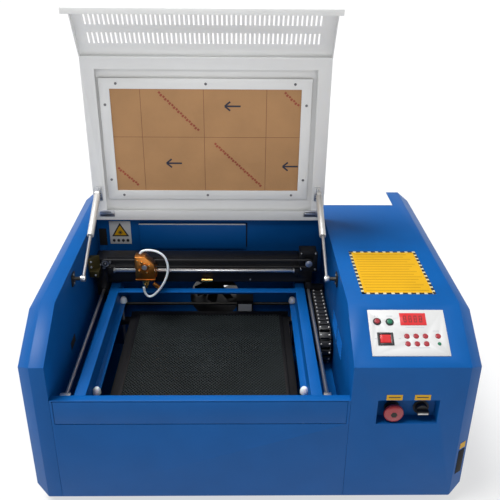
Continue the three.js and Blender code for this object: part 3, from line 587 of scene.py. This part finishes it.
# ---- gantry, head and motion ----
def gantry():
    skin("gantry_beam", black_alu, 0.5)
    skin("gantry_mirror", bronze, 0.4)
    skin("x_motor", black_alu, 1.0)
    skin("x_shaft", steel, 0.3)
    skin("x_pulley", alu, 0.2)
    skin("x_belt", rubber, 0.0)
    bits = Kit()
    for x in (127, 161):
        for z in (284, 327):
            bits.screw(x, 440, z, "y", 2.4, -1)
    for x in (-345, -331):
        for z in (292, 306):
            bits.rod("y", 3.4, 431, 437, x, z)
    for x, z in ((-367, 311), (-367, 325), (-359, 290)):
        bits.screw(x, 398, z, "y", 2.6, -1)
    bits.rod("y", 2.0, 444, 447.5, 5, 253)
    for x in (-340, 144):
        ring = [(5.2, 425.2), (8.3, 425.2), (8.3, 425.9), (5.2, 425.9), (5.2, 425.2)]
        bits.lathe(ring, x, 0, 306, "y", 28)
        bits.rod("y", 2.6, 424.4, 426, x, 306, 0.5, 20)
    for x in (-322, 110):
        bits.rod("x", 6.2, x - 3, x + 3, 433, 285, 0.8, 24)
    for x in (-362, -352):
        bits.rod("z", 2.4, 300.5, 304, x, 428, 0.5, 16)
    bits.put("gantry_screws", "gantry", zinc, "bright_steel")
    label = Kit()
    label.box(128, 160, 446, 478, 327, 327.4, 0)
    label.box(-28.5, 14.5, 491.5, 532.5, 165.6, 166.4, 0)
    label.put("motor_caps", "gantry", dark_iron, "black_metal")
    barrel = Kit()
    barrel.rod("x", 5.2, -112, -86, 441.5, 254, 1.0)
    barrel.rod("x", 5.8, -113.5, -110.5, 441.5, 254, 0.8)
    barrel.put("gantry_barrel", "gantry", brass, "brass")
    teeth = Kit()
    for i in range(96):
        x = -336 + i * 5
        teeth.box(x, x + 2.4, 426.2, 431.8, 313.4, 314.4, 0.1)
    teeth.put("belt_teeth", "gantry", rubber, "rubber")
    for side in ("left", "right"):
        skin("y_shaft_" + side, steel, 0.3)
        skin("y_belt_" + side, rubber, 0.0)
    skin("y_drive_shaft", dark_iron, 0.2)
    skin("y_motor", black_alu, 1.0)
    tag = Kit()
    tag.box(-24, 10, 490.2, 491.2, 134, 156, 0.2)
    tag.put("motor_tag", "cabinet", grey_print, "panel_film")


def head():
    skin("head_carriage", copper, 0.6)
    skin("nozzle", brass, 0.3)
    points = [(-5, 397, 259), (-4, 397, 243), (3, 397, 233), (13, 397, 232), (32, 398, 250), (50, 400, 280)]
    points += [(56, 402, 310), (49, 405, 336), (30, 408, 349), (5, 409, 352), (-8, 409, 348)]
    points += [(-10, 409, 341.5)]
    route = [(HEAD_X + dx, y, z) for dx, y, z in points]
    wire("air_hose_tube", route, 2.8, "head", hose, ("air_hose",))
    bits = Kit()
    for x, z in ((-259, 330), (-249, 326), (-232, 318), (-256, 304), (-238, 300)):
        bits.rod("y", 3.0, 391, 396.2, x, z, 0.8, 20)
        bits.rod("y", 1.3, 390, 392, x, z, 0.3, 6)
    bits.put("head_thumbscrews", "head", brass, "brass")
    ring = Kit()
    ring.rod("y", 10.5, 393.5, 396.4, HEAD_X, 313, 1.0)
    ring.rod("y", 7.5, 392.6, 394, HEAD_X, 313, 0.6)
    ring.box(-266, -220, 395, 423, 277, 280.5, 0.8)
    ring.put("head_mirror_seat", "head", copper, "brass")
    lens = Kit()
    lens.rod("y", 6.2, 392.2, 393.4, HEAD_X, 313, 0.3)
    lens.put("head_mirror", "head", steel, "bright_steel")
    pointer = Kit()
    pointer.box(-226, -203, 401, 409, 261, 269, 1.0, rotated(38, "Y", (-226, 405, 265)))
    pointer.put("head_pointer", "head", copper, "brass")


def chain_links(name, body, spots):
    """Chain links at (y, z, angle) spots, each with two cheeks, a bridge and two pins, light grey domes that
    are partly painted glints.
    """
    plates, pins_and_glints = Kit(), Kit()
    for y, z, angle in spots:
        turn = Matrix.Translation((0, y, z)) @ Matrix.Rotation(math.radians(angle), 4, "X")
        for x0 in (156.2, 180.0):
            plates.box(x0, x0 + 2.8, -8.6, 8.6, -10.2, 10.2, 1.2, turn)
        for z0 in (7.8, -10.6):
            plates.box(157, 182, -6.4, 6.4, z0, z0 + 2.8, 0.6, turn)
        plates.box(158.6, 180.4, -8.2, 8.2, -1, 1, 0.4, turn)
        # The light grey domes stand for the link pins and also paint the glints along the top of the chain.
        for x in (160, 179):
            part = Matrix.Translation((x, 0, 10.6))
            dome = bmesh.new()
            bmesh.ops.create_uvsphere(dome, u_segments=12, v_segments=8, radius=2.2)
            pins_and_glints.take(dome, turn @ part)
    links = plates.put(name, body, black, "black_plastic")
    return links, pins_and_glints.put(name + "_pins", body, cylinder_grey, "bright_steel")


def drag_chain():
    bend = []
    for i in range(7):
        a = math.pi / 2 + math.pi * (i + 0.5) / 7
        y, z = CHAIN_BEND_Y + CHAIN_RADIUS * math.cos(a), CHAIN_Z + CHAIN_RADIUS * math.sin(a)
        bend.append((y, z, math.degrees(a) - 90))
    links, _ = chain_links("chain_bend", "chain", bend)
    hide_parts("drag_chain", "drag_chain_tail")
    upper = [(293 + LINK_PITCH * i, CHAIN_Z + CHAIN_RADIUS, 0) for i in range(10)]
    for piece in chain_links("chain_upper", "gantry", upper):
        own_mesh(piece)
    lower = [(294 + LINK_PITCH * i, CHAIN_Z - CHAIN_RADIUS, 180) for i in range(3)]
    for piece in chain_links("chain_lower", "cabinet", lower):
        piece.parent = None
        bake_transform(piece)


def bed():
    skin("platform_frame", black_alu, 0.6)
    skin("lift_screws", steel, 0.3)
    # A near-black sheet under the strands is painted shade for the depth of the honeycomb.
    core = Kit()
    low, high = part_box("honeycomb_bed")
    x0, x1, y0, y1 = (v * 1000 for v in (low.x, high.x, low.y + 0.35, high.y + 0.35))
    core.box(x0 + 5, x1 - 5, y0 + 5, y1 - 5, 160.5, 161.3, 0)
    core.put("bed_painted_shade", "platform", shade, "black_metal")
    edge = Kit()
    border = 7
    edge.box(x0, x1, y0, y0 + border, 160.4, 164.9, 0.4)
    edge.box(x0, x1, y1 - border, y1, 160.4, 164.9, 0.4)
    edge.box(x0, x0 + border, y0 + border, y1 - border, 160.4, 164.9, 0.4)
    edge.box(x1 - border, x1, y0 + border, y1 - border, 160.4, 164.9, 0.4)
    edge.put("bed_edge", "platform", black_alu, "black_metal")
    mesh = Kit()
    bm, wide, pitch = mesh.bm, 0.62, 7.4
    top, under = 164.6, 161.8
    columns = int((x1 - x0 - 14) / pitch)
    rows = int((y1 - y0 - 14) / (pitch * 0.62))
    for j in range(rows + 1):
        y = y0 + 7 + j * (y1 - y0 - 14) / rows
        swing = 0.3 * pitch * (1 if j % 2 else -1)
        strip = []
        for i in range(2 * columns + 1):
            x = x0 + 6.5 + i * (x1 - x0 - 13) / (2 * columns)
            shift = swing * (1 if i % 2 else -1)
            middle = min(max(y + shift, y0 + 1), y1 - 1)
            near, far = middle - wide, middle + wide
            corners = [(x, near, top), (x, far, top), (x, far, under), (x, near, under)]
            strip.append([bm.verts.new(MACHINE @ Vector(c)) for c in corners])
        for a, b in zip(strip, strip[1:]):
            for k in range(4):
                bm.faces.new((a[k], a[(k + 1) % 4], b[(k + 1) % 4], b[k]))
        bm.faces.new(strip[0])
        bm.faces.new(list(reversed(strip[-1])))
    bmesh.ops.recalc_face_normals(bm, faces=bm.faces)
    mesh.put("mesh_bed", "platform", strand, "black_metal", ("honeycomb_bed",))


# ---- rear and inner pieces ----
def rear():
    skin("tube_bench", alu, 0.4)
    skin("laser_tube", glass, 0.0)
    skin("power_supply", alu, 1.0)
    skin("fan_housing", black, 0.8)
    skin("fan_rotor", black, 0.3)
    guard = Kit()
    for r in (18, 32, 46, 59):
        ring = [(r - 0.9, 0.2), (r + 0.9, 0.2), (r + 0.9, 2.0), (r - 0.9, 2.0), (r - 0.9, 0.2)]
        guard.lathe(ring, FAN_X, 699.8, FAN_Z, "y", 40)
    for i in range(4):
        turn = rotated(i * 45, "Y", (FAN_X, 700, FAN_Z))
        guard.box(FAN_X - 62, FAN_X + 62, 700.2, 701.6, FAN_Z - 1, FAN_Z + 1, 0.4, turn)
    guard.put("fan_guard", "cabinet", zinc, "bright_steel")
    socket = Kit()
    for x, z in ((247, 66), (261, 66), (254, 73)):
        socket.box(x - 1, x + 1, 684, 692, z - 2.4, z + 2.4, 0.3)
    socket.put("inlet_pins", "cabinet", brass, "brass")
    # The port is a flat near-black plate, painted shade standing for its opening.
    port = Kit()
    tilt = math.degrees(math.atan2(EDGE_INSET, EDGE_BEVEL))
    x, y = WIDTH / 2 - EDGE_BEVEL / 2, EDGE_INSET / 2
    turn = rotated(tilt, "Z", (x, y, 0))
    port.box(x - 9, x + 9, y - 0.6, y + 0.6, 52, 112, 0.4, turn)
    port.put("port_slot_shade", "cabinet", shade, "black_plastic")
    tag = Kit()
    tag.box(x - 8, x + 8, y - 0.5, y + 0.5, 116, 130, 0, turn)
    tag.put("port_label", "cabinet", yellow, "panel_film")


# ---- controls ----
def controls():
    skin("control_plate", film, 0.2)
    for i in range(1, 8):
        skin("key_%d" % i, red, 0.6)
    skin("red_button", red, 1.0)
    skin("green_button", green, 1.0)
    skin("rocker_switch", lamp_red, 0.6)
    skin("estop_button", red, 1.2)
    skin("selector_knob", black, 0.8)
    bezel = Kit(PANEL)
    for x, v in ((240, 95), (264, 94)):
        ring = [(5.8, 1), (7.7, 1), (7.7, 2.0), (7.0, 2.7), (5.9, 2.7), (5.8, 1)]
        bezel.lathe(ring, x, v, 0)
    frame_sides = ((237, 241, 45, 71), (263, 267, 45, 71), (241, 263, 45, 48.8), (241, 263, 67.2, 71))
    for x0, x1, v0, v1 in frame_sides:
        bezel.box(x0, x1, v0, v1, 0.9, 3.4, 0.5)
    bezel.put("switch_bezels", "cabinet", black, "black_plastic")
    screen = Kit(PANEL)
    screen.box(284, 334, 87, 113, 0.9, 2.0, 0.4)
    screen.put("display_window", "cabinet", lamp_red, "red_plastic")
    digits = Kit(PANEL)
    for i in range(4):
        x = 291 + i * 10
        for dv in (0, 6.4, 12.8):
            digits.box(x, x + 5.4, 93 + dv, 94.2 + dv, 1.9, 2.15, 0)
        for dx in (0, 4.4):
            digits.box(x + dx, x + dx + 1.0, 94.2, 105.8, 1.9, 2.15, 0)
    digits.put("display_digits", "cabinet", dark_iron, "black_plastic")
    legend = Kit(PANEL)
    rows = ((236, 244, 106), (259, 271, 106), (293, 330, 82), (344, 358, 74))
    rows += ((298, 334, 39), (277, 284, 58), (232, 237, 58))
    for x0, x1, v in rows:
        for k in range(int((x1 - x0) / 2.4)):
            legend.box(x0 + 2.4 * k, x0 + 2.4 * k + 1.6, v, v + 1.6, 0.95, 1.12, 0)
    legend.put("panel_print", "cabinet", grey_print, "panel_film")
    led = Kit(PANEL)
    led.lathe([(0, 1), (3.4, 1), (3.4, 1.8), (2.4, 2.8), (0, 3.2)], 352, 48, 0, sides=20)
    led.put("status_lamp", "cabinet", green, "green_plastic")
    collar = Kit()
    collar.lathe([(9.6, 22), (15, 22), (15, 25.8), (9.6, 25.8), (9.6, 22)], STOP_X, 0, SWITCH_Z, "y")
    collar.lathe([(12, 24), (15.5, 24), (15.5, 25.8), (12, 25.8), (12, 24)], SELECTOR_X, 0, SWITCH_Z, "y")
    collar.put("switch_collars", "cabinet", black, "black_plastic")
    face = Kit()
    face.lathe([(0, 0.6), (6.5, 0.6), (6.5, 1.3), (0, 1.3)], STOP_X, 0, SWITCH_Z, "y", 6)
    face.put("stop_centre", "estop", dark_iron, "black_plastic")
    pointer = Kit()
    pointer.box(SELECTOR_X - 10, SELECTOR_X + 10, 4.6, 5.6, SWITCH_Z - 2.8, SWITCH_Z + 0.4, 0.2)
    pointer.put("selector_bar", "selector", film, "panel_film")


stage()
cabinet()
labels()
lid()
gantry()
head()
drag_chain()
bed()
rear()
controls()
